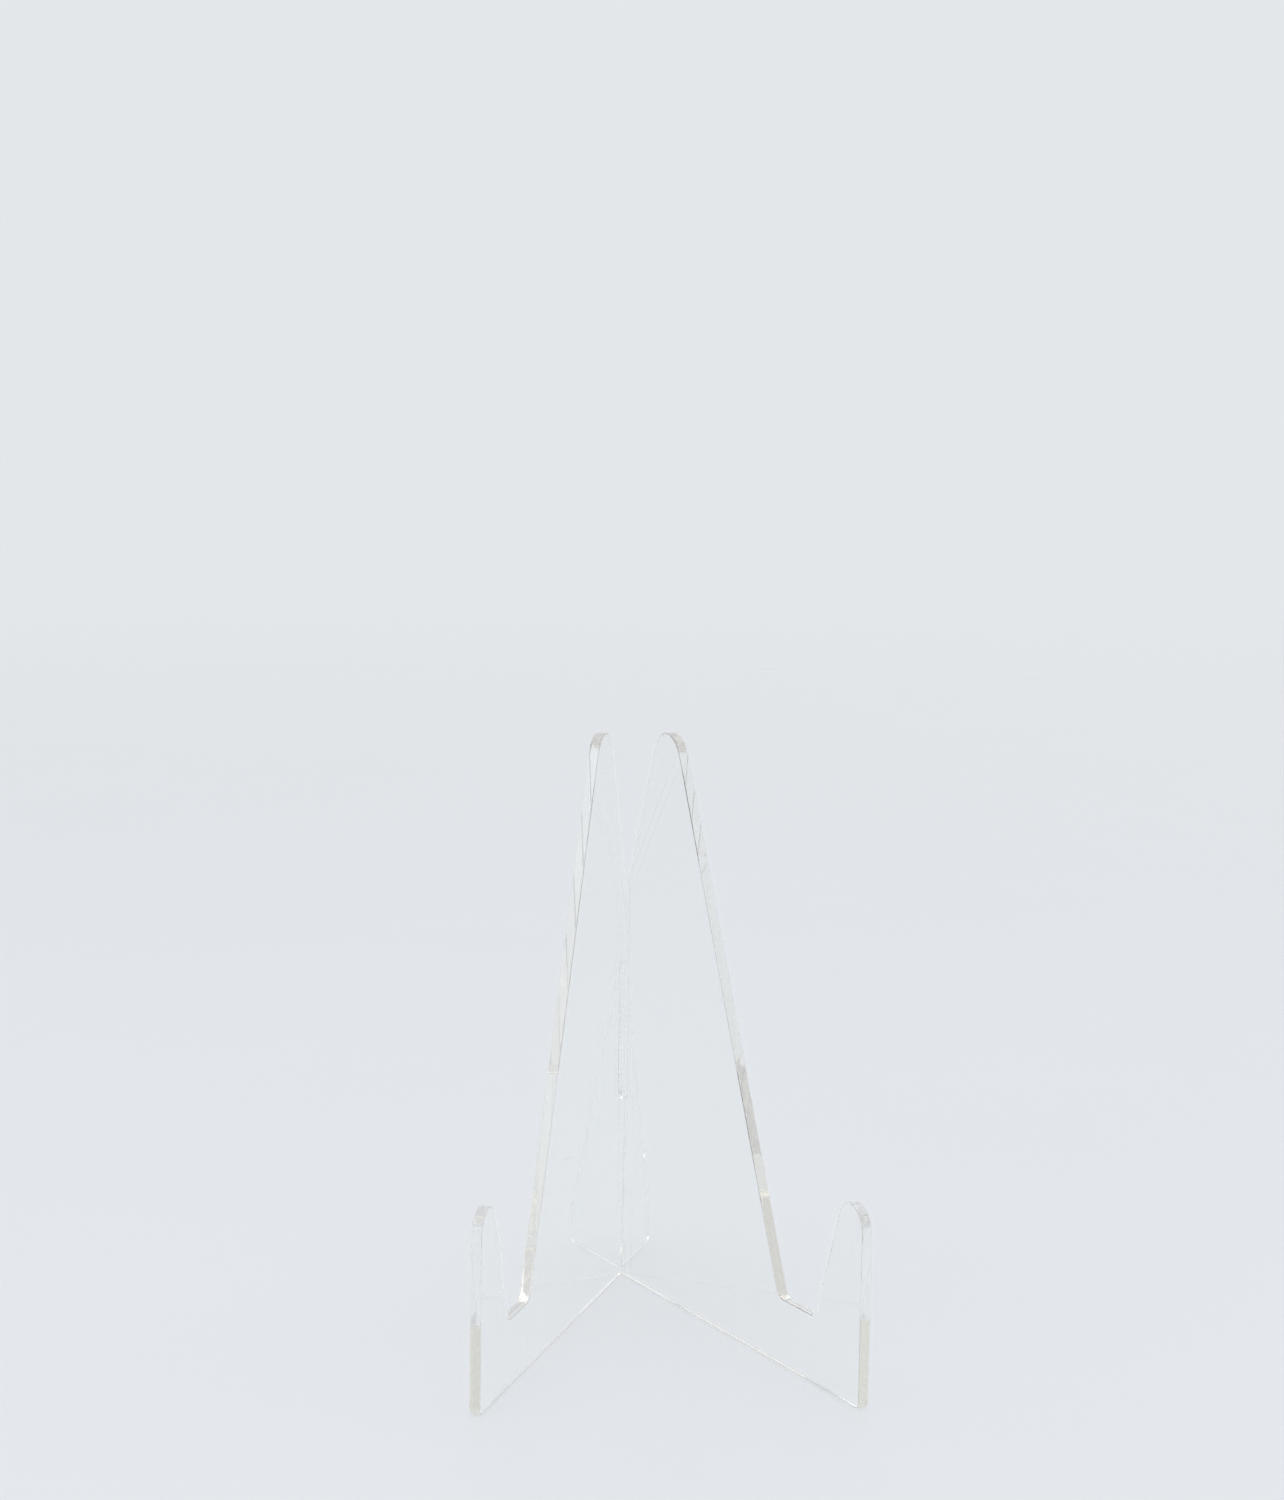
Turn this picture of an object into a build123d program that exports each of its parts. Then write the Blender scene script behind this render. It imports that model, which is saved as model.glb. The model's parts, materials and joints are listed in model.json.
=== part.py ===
from build123d import *
import os
from math import cos, radians, sin, tan

# Plate display stand: two flat panels of clear acrylic sheet that stand on edge and cross in an X.
# Millimetres. +Z is up, the front faces -Y, and the origin is the middle of the footprint, on the
# surface that the stand rests on.

# --- Driving dimensions ---------------------------------------------------------------------------
# A panel is drawn flat, as (back, up): the distance behind its vertical front edge and the height.
SHEET = 3.0              # sheet thickness
ARRIS = 0.25             # bevel that polishing leaves along every edge
SPREAD = 40.0            # angle between the two panels at rest, degrees

LENGTH = 190.0           # front edge to the rear end of the foot
CROSSING = 152.0         # front edge to the line where the panels cross
SEAT_HEIGHT = 19.0       # level of the seat that carries the plate's rim
SEAT_FRONT = 26.5        # front edge to the seat's front corner, at the foot of the prong
SEAT_LENGTH = 20.0
PRONG_HEIGHT = 55.0
PRONG_LEAN = 21.3        # the prong's back edge leans forward from vertical by this, degrees
ARM_HEIGHT = 168.0
ARM_LEAN = 25.0          # the arm's front edge leans back from vertical by this, degrees
REAR_LEAN = 21.3         # the panel's rear edge leans forward from vertical by this, degrees
HEEL_HEIGHT = 12.0       # vertical stretch at the rear end of the foot
SLOT_WIDTH = 9.5         # lets the other panel cross at the rest angle, with play
SLOT_GAP = 0.5           # left between the closed ends of the two slots, so both feet stay down

TOE_RADIUS = 2.0
HEEL_RADIUS = 6.0
SEAT_FRONT_RADIUS = 1.0
SEAT_REAR_RADIUS = 4.0
SLOT_END_RADIUS = 1.0
SLOT_MOUTH_RADIUS = 0.6

# --- Worked out from the above --------------------------------------------------------------------
HALF_SPREAD = SPREAD / 2
SEAT_REAR = SEAT_FRONT + SEAT_LENGTH
SLOT_FRONT = CROSSING - SLOT_WIDTH / 2
SLOT_REAR = CROSSING + SLOT_WIDTH / 2
# The footprint is centred on the origin, so the crossing lies behind it.
CROSSING_Y = (CROSSING - LENGTH / 2) * cos(radians(HALF_SPREAD))


def rear_edge(back):
    """Height of the sloping rear edge at that distance behind the front edge."""
    return HEEL_HEIGHT + (LENGTH - back) / tan(radians(REAR_LEAN))


# Each panel is slotted through half of its height at the crossing.
SLOT_MEETING = rear_edge(CROSSING) / 2


def tip(front_foot, front_lean, rear_foot, rear_lean, top):
    """A finger between two straight edges that start at its feet and lean back from vertical by
    those angles. Gives the point where they would meet, and the radius that rounds it off at top."""
    front_slope = tan(radians(front_lean))
    rear_slope = tan(radians(rear_lean))
    front_start = front_foot[0] - front_slope * front_foot[1]
    rear_start = rear_foot[0] - rear_slope * rear_foot[1]
    up = (rear_start - front_start) / (front_slope - rear_slope)
    half_angle = radians(front_lean - rear_lean) / 2
    tilt = radians(front_lean + rear_lean) / 2
    radius = (up - top) / (cos(tilt) / sin(half_angle) - 1)
    return (front_start + front_slope * up, up), radius


def front_corners():
    """Toe, prong, seat and arm, which both panels have alike, each with its rounding radius."""
    seat_front = (SEAT_FRONT, SEAT_HEIGHT)
    seat_rear = (SEAT_REAR, SEAT_HEIGHT)
    return [
        ((0, 0), TOE_RADIUS),
        tip((0, 0), 0, seat_front, -PRONG_LEAN, PRONG_HEIGHT),
        (seat_front, SEAT_FRONT_RADIUS),
        (seat_rear, SEAT_REAR_RADIUS),
        tip(seat_rear, ARM_LEAN, (LENGTH, HEEL_HEIGHT), -REAR_LEAN, ARM_HEIGHT),
    ]


def heel_corners():
    return [((LENGTH, HEEL_HEIGHT), HEEL_RADIUS), ((LENGTH, 0), TOE_RADIUS)]


def slot_corners(first_back, last_back, mouth_height, end_height):
    """A slot's four corners, from its mouth on one side round its closed end to the other side."""
    return [
        ((first_back, mouth_height(first_back)), SLOT_MOUTH_RADIUS),
        ((first_back, end_height), SLOT_END_RADIUS),
        ((last_back, end_height), SLOT_END_RADIUS),
        ((last_back, mouth_height(last_back)), SLOT_MOUTH_RADIUS),
    ]


def rounded(corners):
    """Flat face inside those corners, each rounded by its own radius."""
    face = Polygon(*[point for point, _ in corners], align=None)
    for point, radius in corners:
        face = fillet(face.vertices().sort_by_distance(point)[0], radius)
    return face


def upright(face, side):
    """Cuts the panel from sheet, bevels its edges, and stands it through the crossing line with its
    front edge swung to the left (side -1) or the right (side 1)."""
    panel = extrude(face, SHEET / 2, both=True)
    faces = panel.faces().sort_by(Axis.Z)
    panel = chamfer(faces[0].edges() + faces[-1].edges(), ARRIS)
    panel = Rot(0, 0, 90) * Rot(90, 0, 0) * Pos(-CROSSING, 0, 0) * panel
    return Pos(0, CROSSING_Y, 0) * Rot(0, 0, side * HALF_SPREAD) * panel


def left_panel():
    """Its slot opens at the bottom, so it goes on from above."""
    slot = slot_corners(SLOT_REAR, SLOT_FRONT, lambda back: 0, SLOT_MEETING + SLOT_GAP / 2)
    return upright(rounded(front_corners() + heel_corners() + slot), -1)


def right_panel():
    """Its slot opens at the top, in the sloping rear edge, so it stands first."""
    slot = slot_corners(SLOT_FRONT, SLOT_REAR, rear_edge, SLOT_MEETING - SLOT_GAP / 2)
    return upright(rounded(front_corners() + slot + heel_corners()), 1)


os.makedirs("parts", exist_ok=True)
for name, make in (("left_panel", left_panel), ("right_panel", right_panel)):
    panel = make()
    panel.label = name
    export_step(panel, f"parts/{name}.step")
    print(name, "volume", round(panel.volume, 1), "mm3")
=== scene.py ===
import json
from collections import namedtuple
from math import atan2, ceil, cos, pi, radians, sin, tan
import bpy
from mathutils import Matrix, Vector


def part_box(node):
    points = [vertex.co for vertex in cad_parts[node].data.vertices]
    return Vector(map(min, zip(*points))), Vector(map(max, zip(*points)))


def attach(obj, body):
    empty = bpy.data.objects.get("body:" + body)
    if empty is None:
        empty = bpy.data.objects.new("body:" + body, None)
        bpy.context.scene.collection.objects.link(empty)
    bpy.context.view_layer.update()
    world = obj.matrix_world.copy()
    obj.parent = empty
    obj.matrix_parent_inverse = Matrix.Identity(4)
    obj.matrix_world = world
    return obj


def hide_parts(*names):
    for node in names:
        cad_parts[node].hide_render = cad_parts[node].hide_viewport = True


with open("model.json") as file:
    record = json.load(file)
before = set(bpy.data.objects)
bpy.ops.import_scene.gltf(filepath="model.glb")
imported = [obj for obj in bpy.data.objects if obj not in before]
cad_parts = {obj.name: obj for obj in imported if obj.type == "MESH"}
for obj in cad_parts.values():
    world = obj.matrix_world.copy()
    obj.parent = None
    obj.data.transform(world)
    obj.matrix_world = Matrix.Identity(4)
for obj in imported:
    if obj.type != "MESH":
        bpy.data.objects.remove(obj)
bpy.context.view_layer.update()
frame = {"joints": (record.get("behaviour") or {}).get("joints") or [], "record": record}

# Plate display stand: two panels of clear acrylic sheet that stand on edge and cross in an X.
# Metres. Each panel is drawn flat, as (back, up): the distance behind its vertical front edge and
# the height. These sizes are the CAD model's, and check_against_cad() holds them to it.
SHEET = 0.003
ARRIS = 0.00025
LENGTH = 0.190
CROSSING = 0.152
SEAT_FRONT = 0.0265
SEAT_LENGTH = 0.020
PRONG_HEIGHT = 0.055
PRONG_LEAN = 21.3
ARM_HEIGHT = 0.168
ARM_LEAN = 25.0
REAR_LEAN = 21.3
HEEL_HEIGHT = 0.012
SLOT_WIDTH = 0.0095
SLOT_GAP = 0.0005

TOE_RADIUS = 0.002
HEEL_RADIUS = 0.006
SEAT_FRONT_RADIUS = 0.001
SEAT_REAR_RADIUS = 0.004
SLOT_END_RADIUS = 0.001
SLOT_MOUTH_RADIUS = 0.0006

# What the frame itself says: the line the panels cross on, their angle, and the seat's height.
joint = frame["joints"][0]
mounts = {mount["name"]: mount for mount in frame["record"]["mounts"]}
CROSSING_AT = Vector(joint["pos_m"])
SEAT_HEIGHT = mounts["left_seat"]["pos_m"][2]
HALF_SPREAD = atan2(mounts["right_seat"]["pos_m"][0],
                    CROSSING_AT.y - mounts["right_seat"]["pos_m"][1])

SEAT_REAR = SEAT_FRONT + SEAT_LENGTH
SLOT_FRONT = CROSSING - SLOT_WIDTH / 2
SLOT_REAR = CROSSING + SLOT_WIDTH / 2

ARC_STEP = radians(3)    # turn from one point to the next round a corner
ARRIS_STEPS = 3
FIT = 0.00005            # how far a panel may be from the CAD model's box

ACRYLIC_IOR = 1.49
CLEAR = (0.99, 0.995, 0.992, 1)
# The foot's colour is painted contact shade: darker where the sheet stands on the floor.
FOOT_PAINTED_SHADE = (0.95, 0.93, 0.96, 1)
BODY = (0.60, 0.46, 0.05, 1)     # what a metre of it leaves of each colour, to first order
FACE_LETS_THROUGH = 0.98
EDGE_LETS_THROUGH = 0.88
# A clean face's roughness, what wear adds to it, and the least and most of each kind of edge.
FACE_ROUGHNESS = 0.003
SMEAR_ROUGHNESS = 0.035
SCRATCH_ROUGHNESS = 0.12
POLISHED_ROUGHNESS = 0.004, 0.012
SAWN_ROUGHNESS = 0.16, 0.34
FOOT_ROUGHNESS = 0.25, 0.45
# Depths of the relief. The saw's lines are a share of the ripples' depth.
WAVE_DEPTH = 0.00006
SCRATCH_DEPTH = 0.000002
RIPPLE_DEPTH = 0.000007
SAW_SHARE_POLISHED = 0.004
SAW_SHARE_AS_CUT = 2.0

BACKDROP = (0.775, 0.800, 0.825, 1)
SIDES = (0.69, 0.70, 0.72, 1)
OVERHEAD = (0.90, 0.91, 0.92, 1)
# How high the world's colours reach, as the upward part of the direction that one looks in.
SKY = (0.10, BACKDROP), (0.30, SIDES), (0.55, SIDES), (0.80, OVERHEAD)
LIGHTS_AIM = Vector((0, 0, 0.08))

FLOOR_GAP = 0.0002
FLOOR_FADES_FROM = 0.5
FLOOR_FADES_TO = 2.5
FLOOR_COLOURS = BACKDROP, (0.790, 0.814, 0.838, 1)
FLOOR_ROUGHNESS = 0.30, 0.42
FLOOR_GLOSS = 0.4
FLOOR_GRAIN_DEPTH = 0.000004

CAMERA_AT = (-0.1069, -1.0371, 0.2989)
CAMERA_TURN = radians(5.84)      # to the right of +Y
CAMERA_DIP = radians(7.25)
CAMERA_LEAN = radians(0.80)      # to its own left
LENS = 88.8                      # millimetres, as is the sensor
SENSOR_WIDTH = 36

BOUNCES = 48             # light runs a long way inside the sheet before it comes out
TRANSPARENT_BOUNCES = 16


# --- Shape of a panel -----------------------------------------------------------------------------
# as_cut marks a corner of a slot, whose walls no polishing flame reaches.
Corner = namedtuple("Corner", "at radius as_cut", defaults=(False,))


def rear_edge(back):
    """Height of the sloping rear edge at that distance behind the front edge."""
    return HEEL_HEIGHT + (LENGTH - back) / tan(radians(REAR_LEAN))


SLOT_MEETING = rear_edge(CROSSING) / 2


def tip(front_foot, front_lean, rear_foot, rear_lean, top):
    """A finger between two straight edges that start at its feet and lean back from vertical by
    those angles: the corner where they would meet, with the radius that rounds it off at top."""
    front_slope = tan(radians(front_lean))
    rear_slope = tan(radians(rear_lean))
    front_start = front_foot[0] - front_slope * front_foot[1]
    rear_start = rear_foot[0] - rear_slope * rear_foot[1]
    up = (rear_start - front_start) / (front_slope - rear_slope)
    half_angle = radians(front_lean - rear_lean) / 2
    tilt = radians(front_lean + rear_lean) / 2
    radius = (up - top) / (cos(tilt) / sin(half_angle) - 1)
    return Corner((front_start + front_slope * up, up), radius)


def front_corners():
    """Toe, prong, seat and arm, which both panels have alike."""
    seat_front = (SEAT_FRONT, SEAT_HEIGHT)
    seat_rear = (SEAT_REAR, SEAT_HEIGHT)
    return [
        Corner((0, 0), TOE_RADIUS),
        tip((0, 0), 0, seat_front, -PRONG_LEAN, PRONG_HEIGHT),
        Corner(seat_front, SEAT_FRONT_RADIUS),
        Corner(seat_rear, SEAT_REAR_RADIUS),
        tip(seat_rear, ARM_LEAN, (LENGTH, HEEL_HEIGHT), -REAR_LEAN, ARM_HEIGHT),
    ]


def heel_corners():
    return [Corner((LENGTH, HEEL_HEIGHT), HEEL_RADIUS), Corner((LENGTH, 0), TOE_RADIUS)]


def slot_corners(first_back, last_back, mouth_height, end_height):
    """A slot's four corners, from its mouth on one side round its closed end to the other side."""
    return [
        Corner((first_back, mouth_height(first_back)), SLOT_MOUTH_RADIUS, True),
        Corner((first_back, end_height), SLOT_END_RADIUS, True),
        Corner((last_back, end_height), SLOT_END_RADIUS, True),
        Corner((last_back, mouth_height(last_back)), SLOT_MOUTH_RADIUS, True),
    ]


def left_corners():
    """Slotted from the bottom edge."""
    slot = slot_corners(SLOT_REAR, SLOT_FRONT, lambda back: 0, SLOT_MEETING + SLOT_GAP / 2)
    return front_corners() + heel_corners() + slot


def right_corners():
    """Slotted from the sloping rear edge."""
    slot = slot_corners(SLOT_FRONT, SLOT_REAR, rear_edge, SLOT_MEETING - SLOT_GAP / 2)
    return front_corners() + slot + heel_corners()


def rounded_outline(corners):
    """Point, outward normal and as_cut round the outline, clockwise from the toe up the front."""
    outline = []
    for index, corner in enumerate(corners):
        at = Vector(corner.at)
        before = (at - Vector(corners[index - 1].at)).normalized()
        after = (Vector(corners[(index + 1) % len(corners)].at) - at).normalized()
        turn = atan2(before.cross(after), before.dot(after))
        # Clockwise, a right turn is an outer corner, with its centre on the right, in the sheet.
        outer = 1 if turn < 0 else -1
        to_centre = Vector((before.y, -before.x)) * outer
        centre = at - before * corner.radius * tan(abs(turn) / 2) + to_centre * corner.radius
        steps = max(2, ceil(abs(turn) / ARC_STEP))
        for step in range(steps + 1):
            spoke = Matrix.Rotation(turn * step / steps, 2) @ -to_centre
            outline.append((centre + spoke * corner.radius, spoke * outer, corner.as_cut))
    return outline


def panel_mesh(name, corners):
    """The sheet between two flat faces. Its edge is a wall that turns into each face through a
    quarter-round arris. Local axes: X across the sheet, Y back from the crossing line, Z up."""
    outline = rounded_outline(corners)
    count = len(outline)
    tilts = [pi / 2 * step / ARRIS_STEPS for step in range(ARRIS_STEPS + 1)]
    rings = [(-1, tilt) for tilt in reversed(tilts)] + [(1, tilt) for tilt in tilts]
    vertices = []
    normals = []
    for side, tilt in rings:
        across = side * (SHEET / 2 - ARRIS + ARRIS * sin(tilt))
        inset = ARRIS * (1 - cos(tilt))
        for point, outward, _ in outline:
            spot = point - outward * inset
            vertices.append((across, spot.x - CROSSING, spot.y))
            normals.append((side * sin(tilt), outward.x * cos(tilt), outward.y * cos(tilt)))
    last_ring = (len(rings) - 1) * count
    faces = [list(range(count)), [last_ring + index for index in reversed(range(count))]]
    as_cut = [0.0, 0.0]
    for low in range(0, last_ring, count):
        for index in range(count):
            following = (index + 1) % count
            faces.append([low + following, low + index,
                          low + count + index, low + count + following])
            as_cut.append(float(outline[index][2] and outline[following][2]))
    mesh = bpy.data.meshes.new(name)
    mesh.from_pydata(vertices, [], faces)
    mesh.polygons.foreach_set("use_smooth", [True] * len(faces))
    mesh.normals_split_custom_set_from_vertices(normals)
    mesh.attributes.new("as_cut", "FLOAT", "FACE").data.foreach_set("value", as_cut)
    return mesh


# --- Materials ------------------------------------------------------------------------------------
class Nodes:
    """Short forms for building one material's or world's nodes."""

    def __init__(self, owner):
        owner.use_nodes = True
        self.tree = owner.node_tree
        self.tree.nodes.clear()

    def add(self, kind, inputs=None, **settings):
        """A node of that kind. An input is a plain value or another node's output."""
        node = self.tree.nodes.new(kind)
        for name, value in settings.items():
            setattr(node, name, value)
        for name, value in (inputs or {}).items():
            if isinstance(value, bpy.types.NodeSocket):
                self.tree.links.new(value, node.inputs[name])
            else:
                node.inputs[name].default_value = value
        return node

    def math(self, operation, first, second=0.0, third=0.0):
        node = self.add("ShaderNodeMath", {0: first, 1: second, 2: third}, operation=operation)
        return node.outputs[0]

    def ramp(self, value, start, end, low=0.0, high=1.0):
        """Eases from low to high as value goes from start to end."""
        node = self.add("ShaderNodeMapRange", {"Value": value, "From Min": start, "From Max": end,
                                               "To Min": low, "To Max": high},
                        interpolation_type="SMOOTHSTEP")
        return node.outputs["Result"]

    def blend(self, share, first, second, kind="FLOAT"):
        """From first to second as share goes from 0 to 1."""
        # After its two factors, a Mix node has a pair of inputs for each kind, in this order.
        row = ("FLOAT", "VECTOR", "RGBA").index(kind)
        inputs = {"Factor": share, 2 * row + 2: first, 2 * row + 3: second}
        return self.add("ShaderNodeMix", inputs, data_type=kind).outputs[row]

    def blend_shaders(self, share, first, second):
        return self.add("ShaderNodeMixShader", {0: share, 1: first, 2: second}).outputs[0]

    def stretched(self, coordinates, scale, turn=0.0):
        """Object coordinates turned by degrees about the sheet's own normal, then scaled along each
        axis, so that noise has about that many features a metre."""
        turned = self.add("ShaderNodeMapping", {"Vector": coordinates,
                                                "Rotation": (radians(turn), 0, 0)})
        return self.add("ShaderNodeMapping", {"Vector": turned.outputs[0],
                                              "Scale": scale}).outputs[0]

    def noise(self, coordinates, detail=2.0, roughness=0.5):
        node = self.add("ShaderNodeTexNoise", {"Vector": coordinates, "Scale": 1.0,
                                               "Detail": detail, "Roughness": roughness})
        return node.outputs["Fac"]

    def bump(self, height, metres, over=None):
        """The normal of a relief where a height of 1 is so many metres, on top of another one."""
        inputs = {"Height": height, "Distance": metres, "Strength": 1.0}
        if over:
            inputs["Normal"] = over
        return self.add("ShaderNodeBump", inputs).outputs["Normal"]


def acrylic_scratches(nodes, coordinates):
    """Hairline scratches in four directions, 0 to 1, denser in some patches than in others."""
    total = 0.0
    for turn in (8, 52, 97, 151):
        lines = nodes.noise(nodes.stretched(coordinates, (200, 2600, 26), turn), 1.0)
        total = nodes.math("MAXIMUM", total, nodes.ramp(lines, 0.735, 0.76))
    patches = nodes.noise(nodes.stretched(coordinates, (30, 30, 30)), 2.0)
    return nodes.math("MULTIPLY", total, nodes.ramp(patches, 0.42, 0.62))


def clear_acrylic():
    """Cast sheet: clear glossy faces with hairline scratches and smears, flame-polished edges with
    ripples, slot walls left as cut, and a rough, scuffed foot whose colour is painted darker as
    contact shade where it stands on the floor. Its body takes a little off long paths."""
    material = bpy.data.materials.new("clear_acrylic_sheet")
    nodes = Nodes(material)
    place = nodes.add("ShaderNodeTexCoord").outputs["Object"]
    axes = nodes.add("ShaderNodeSeparateXYZ", {"Vector": place}).outputs
    as_cut = nodes.add("ShaderNodeAttribute", attribute_name="as_cut").outputs["Fac"]
    on_edge = nodes.math("LESS_THAN", nodes.math("ABSOLUTE", axes["X"]), SHEET / 2 - ARRIS / 50)
    on_foot = nodes.math("MULTIPLY", on_edge, nodes.ramp(axes["Z"], ARRIS, 3 * ARRIS, 1.0, 0.0))

    # Wear shows from outside; light that runs along inside the sheet glides past it.
    inside_out = nodes.add("ShaderNodeNewGeometry").outputs["Backfacing"]
    outside = nodes.math("SUBTRACT", 1.0, inside_out)
    scratches = nodes.math("MULTIPLY", acrylic_scratches(nodes, place), outside)
    smears = nodes.ramp(nodes.noise(nodes.stretched(place, (20, 60, 35), 30), 4.0, 0.6), 0.52, 0.72)
    smears = nodes.math("MULTIPLY", smears, outside)
    face_rough = nodes.math("MULTIPLY_ADD", scratches, SCRATCH_ROUGHNESS, FACE_ROUGHNESS)
    face_rough = nodes.math("MULTIPLY_ADD", smears, SMEAR_ROUGHNESS, face_rough)
    mottle = nodes.noise(nodes.stretched(place, (300, 420, 420)), 3.0)
    edge_rough = nodes.ramp(mottle, 0.35, 0.75, *POLISHED_ROUGHNESS)
    cut_rough = nodes.ramp(mottle, 0.3, 0.7, *SAWN_ROUGHNESS)
    foot_rough = nodes.ramp(mottle, 0.35, 0.65, *FOOT_ROUGHNESS)
    rough = nodes.blend(on_edge, face_rough, edge_rough)
    rough = nodes.blend(nodes.math("MULTIPLY", as_cut, outside), rough, cut_rough)
    rough = nodes.blend(nodes.math("MULTIPLY", on_foot, outside), rough, foot_rough)

    # Bumps: the sheet's slow waves and its scratches, the flame's ripples along an edge, and the
    # saw's fine lines across it, which polishing has all but melted away outside the slots.
    waves = nodes.bump(nodes.noise(nodes.stretched(place, (10, 22, 22)), 1.0), WAVE_DEPTH)
    scored = nodes.bump(scratches, -SCRATCH_DEPTH, over=waves)
    ripples = nodes.noise(nodes.stretched(place, (60, 210, 210)), 2.0)
    saw_lines = nodes.noise(nodes.stretched(place, (40, 2400, 2400)), 2.0)
    saw_share = nodes.blend(as_cut, SAW_SHARE_POLISHED, SAW_SHARE_AS_CUT)
    worked = nodes.math("MULTIPLY_ADD", saw_lines, saw_share, ripples)
    edge_normal = nodes.bump(worked, RIPPLE_DEPTH)
    normal = nodes.blend(on_edge, scored, edge_normal, "VECTOR")

    # On the foot the base colour is painted shade, darker where the sheet meets the floor.
    shader = nodes.add("ShaderNodeBsdfPrincipled", {
        "Base Color": nodes.blend(on_foot, CLEAR, FOOT_PAINTED_SHADE, "RGBA"), "Roughness": rough,
        "IOR": ACRYLIC_IOR, "Transmission Weight": 1.0, "Normal": normal}).outputs[0]
    # Light for the floor goes straight through: the faces mirror as much onto it as they take away,
    # and only the edges scatter some of it.
    kept = nodes.blend(on_edge, FACE_LETS_THROUGH, EDGE_LETS_THROUGH)
    through = nodes.add("ShaderNodeBsdfTransparent", {"Color": kept}).outputs[0]
    path = nodes.add("ShaderNodeLightPath").outputs
    surface = nodes.blend_shaders(path["Is Shadow Ray"], shader, through)
    surface = nodes.blend_shaders(path["Is Diffuse Ray"], surface, through)
    inside = nodes.add("ShaderNodeVolumeAbsorption", {"Color": BODY, "Density": 1.0}).outputs[0]
    nodes.add("ShaderNodeOutputMaterial", {"Surface": surface, "Volume": inside})
    return material


def pale_floor():
    """White laminate with a fine grain, which gives way to the backdrop far from the stand."""
    material = bpy.data.materials.new("pale_laminate")
    nodes = Nodes(material)
    place = nodes.add("ShaderNodeTexCoord").outputs["Object"]
    grain = nodes.noise(nodes.stretched(place, (900, 900, 900)), 3.0)
    cloud = nodes.noise(nodes.stretched(place, (7, 7, 7)), 2.0)
    shader = nodes.add("ShaderNodeBsdfPrincipled", {
        "Base Color": nodes.blend(cloud, *FLOOR_COLOURS, "RGBA"),
        "Roughness": nodes.ramp(grain, 0.3, 0.7, *FLOOR_ROUGHNESS),
        "Specular IOR Level": FLOOR_GLOSS,
        "Normal": nodes.bump(grain, FLOOR_GRAIN_DEPTH)}).outputs[0]
    reach = nodes.add("ShaderNodeVectorMath", {0: place}, operation="LENGTH").outputs["Value"]
    gone = nodes.add("ShaderNodeBsdfTransparent").outputs[0]
    faded = nodes.blend_shaders(nodes.ramp(reach, FLOOR_FADES_FROM, FLOOR_FADES_TO), shader, gone)
    nodes.add("ShaderNodeOutputMaterial", {"Surface": faded})
    return material


# --- Pieces ---------------------------------------------------------------------------------------
def check_against_cad(piece, node):
    """Stops the script where a panel isn't where the CAD model has it."""
    bpy.context.view_layer.update()
    corners = [piece.matrix_world @ vertex.co for vertex in piece.data.vertices]
    low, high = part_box(node)
    for axis in range(3):
        places = [corner[axis] for corner in corners]
        gap = max(abs(min(places) - low[axis]), abs(max(places) - high[axis]))
        if gap > FIT:
            raise ValueError(f"{piece.name} is {gap * 1000:.3f} mm from {node} on axis {axis}")


def add_panel(body, corners, side, material):
    name = f"{body}_acrylic"
    piece = bpy.data.objects.new(name, panel_mesh(name, corners))
    bpy.context.scene.collection.objects.link(piece)
    piece.data.materials.append(material)
    turn = Matrix.Rotation(side * HALF_SPREAD, 4, "Z")
    piece.matrix_world = Matrix.Translation(CROSSING_AT) @ turn
    check_against_cad(piece, body)
    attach(piece, body)
    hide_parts(body)


# --- Studio ---------------------------------------------------------------------------------------
def add_floor():
    bpy.ops.mesh.primitive_circle_add(vertices=96, radius=FLOOR_FADES_TO, fill_type="NGON",
                                      location=(0, 0, -FLOOR_GAP))
    floor = bpy.context.object
    floor.name = "studio_floor"
    floor.data.materials.append(pale_floor())


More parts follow.
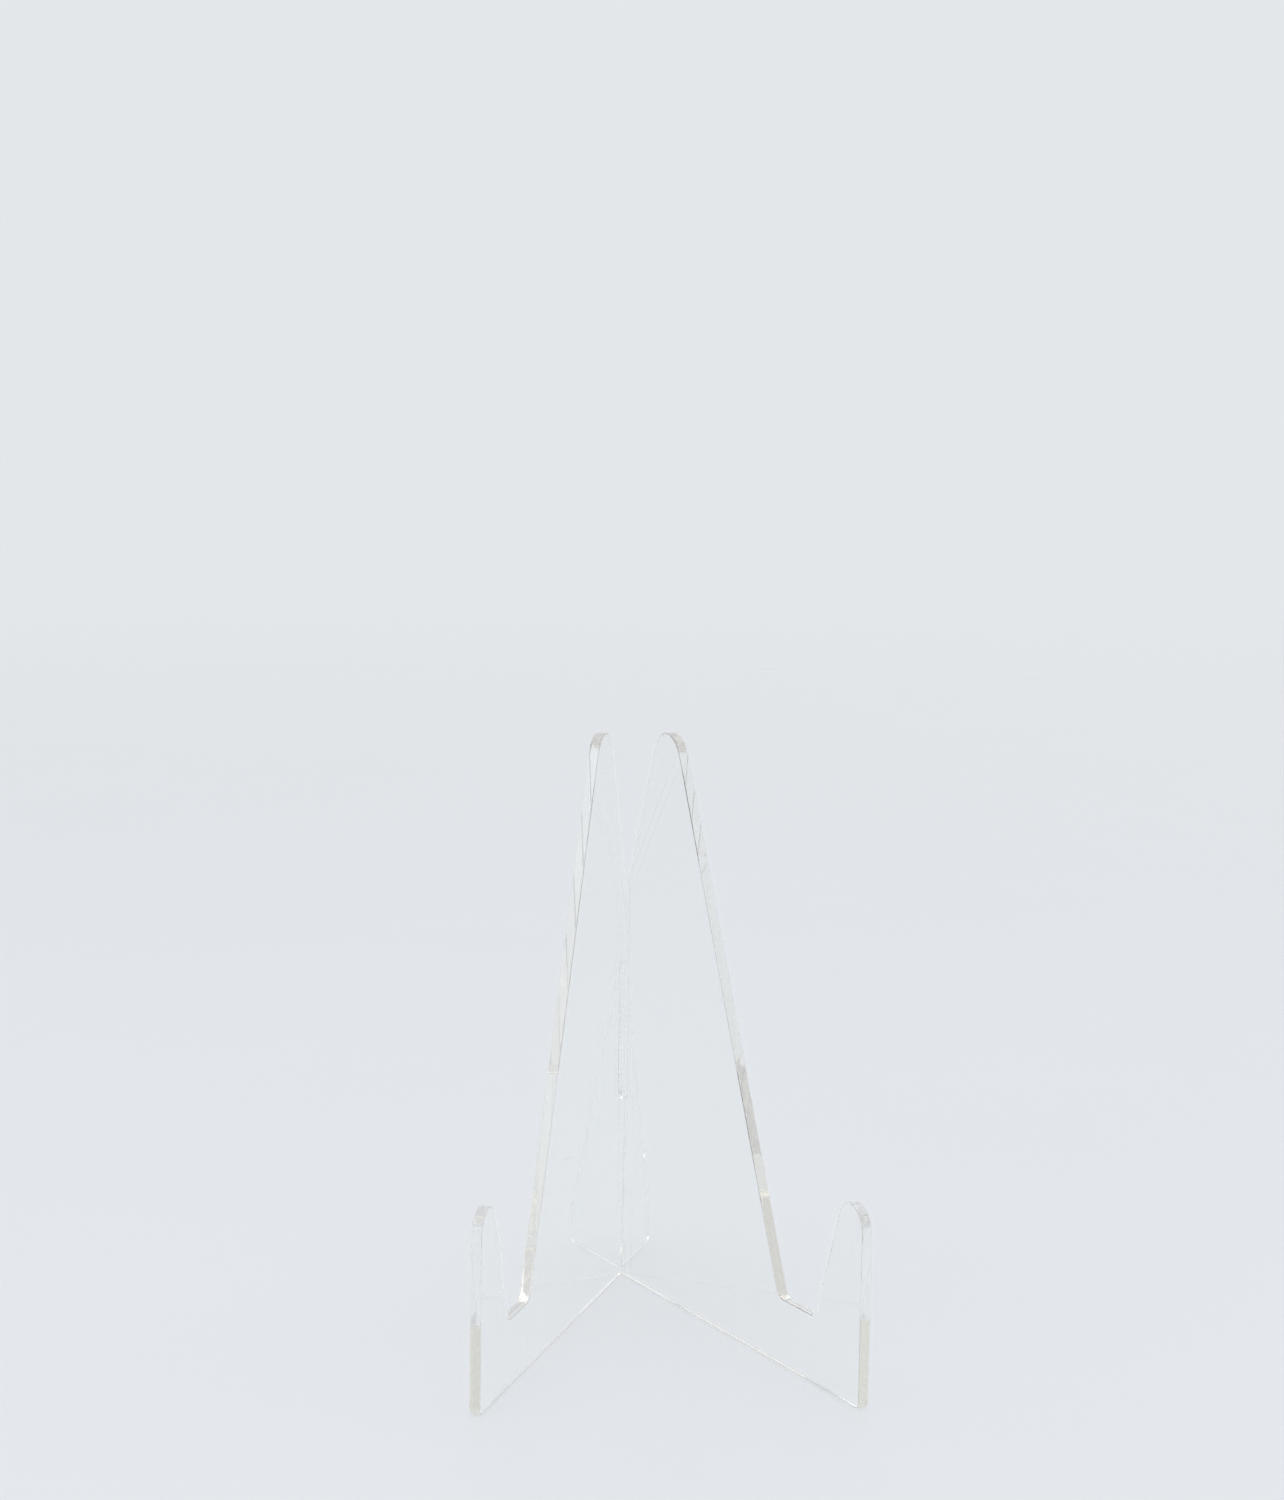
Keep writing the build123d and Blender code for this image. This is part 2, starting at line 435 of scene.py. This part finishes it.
def add_world():
    """Bright overhead, dimmer round the sides, and the backdrop's pale grey at eye level."""
    world = bpy.data.worlds.new("studio_world")
    bpy.context.scene.world = world
    nodes = Nodes(world)
    direction = nodes.add("ShaderNodeTexCoord").outputs["Generated"]
    height = nodes.add("ShaderNodeSeparateXYZ", {"Vector": direction}).outputs["Z"]
    ramp = nodes.add("ShaderNodeValToRGB", {"Fac": height})
    stops = ramp.color_ramp.elements
    stops[0].position, stops[0].color = 0.0, BACKDROP
    stops[1].position, stops[1].color = 1.0, OVERHEAD
    for position, colour in SKY:
        stops.new(position).color = colour
    sky = nodes.add("ShaderNodeBackground", {"Color": ramp.outputs["Color"], "Strength": 1.0})
    nodes.add("ShaderNodeOutputWorld", {"Surface": sky.outputs[0]})


def add_softbox(name, at, side, power):
    light = bpy.data.lights.new(name, "AREA")
    light.shape = "SQUARE"
    light.size = side
    light.energy = power
    lamp = bpy.data.objects.new(name, light)
    bpy.context.scene.collection.objects.link(lamp)
    lamp.location = at
    lamp.rotation_euler = (LIGHTS_AIM - Vector(at)).to_track_quat("-Z", "Y").to_euler()


def add_camera():
    data = bpy.data.cameras.new("camera")
    data.lens = LENS
    data.sensor_width = SENSOR_WIDTH
    camera = bpy.data.objects.new("camera", data)
    bpy.context.scene.collection.objects.link(camera)
    forward = Vector((sin(CAMERA_TURN) * cos(CAMERA_DIP), cos(CAMERA_TURN) * cos(CAMERA_DIP),
                      -sin(CAMERA_DIP)))
    level = forward.cross(Vector((0, 0, 1))).normalized()
    right = Matrix.Rotation(-CAMERA_LEAN, 3, forward) @ level
    axes = Matrix((right, right.cross(forward), -forward)).transposed()
    camera.matrix_world = Matrix.Translation(CAMERA_AT) @ axes.to_4x4()
    bpy.context.scene.camera = camera


acrylic = clear_acrylic()
add_panel("left_panel", left_corners(), -1, acrylic)
add_panel("right_panel", right_corners(), 1, acrylic)
add_floor()
add_world()
add_softbox("key_softbox", at=(-1.2, -0.9, 2.1), side=2.4, power=15)
add_softbox("rim_softbox", at=(1.4, 1.3, 1.8), side=2.0, power=6)
add_camera()

scene = bpy.context.scene
scene.view_settings.view_transform = "Standard"
scene.cycles.max_bounces = BOUNCES
scene.cycles.glossy_bounces = BOUNCES
scene.cycles.transmission_bounces = BOUNCES
scene.cycles.transparent_max_bounces = TRANSPARENT_BOUNCES
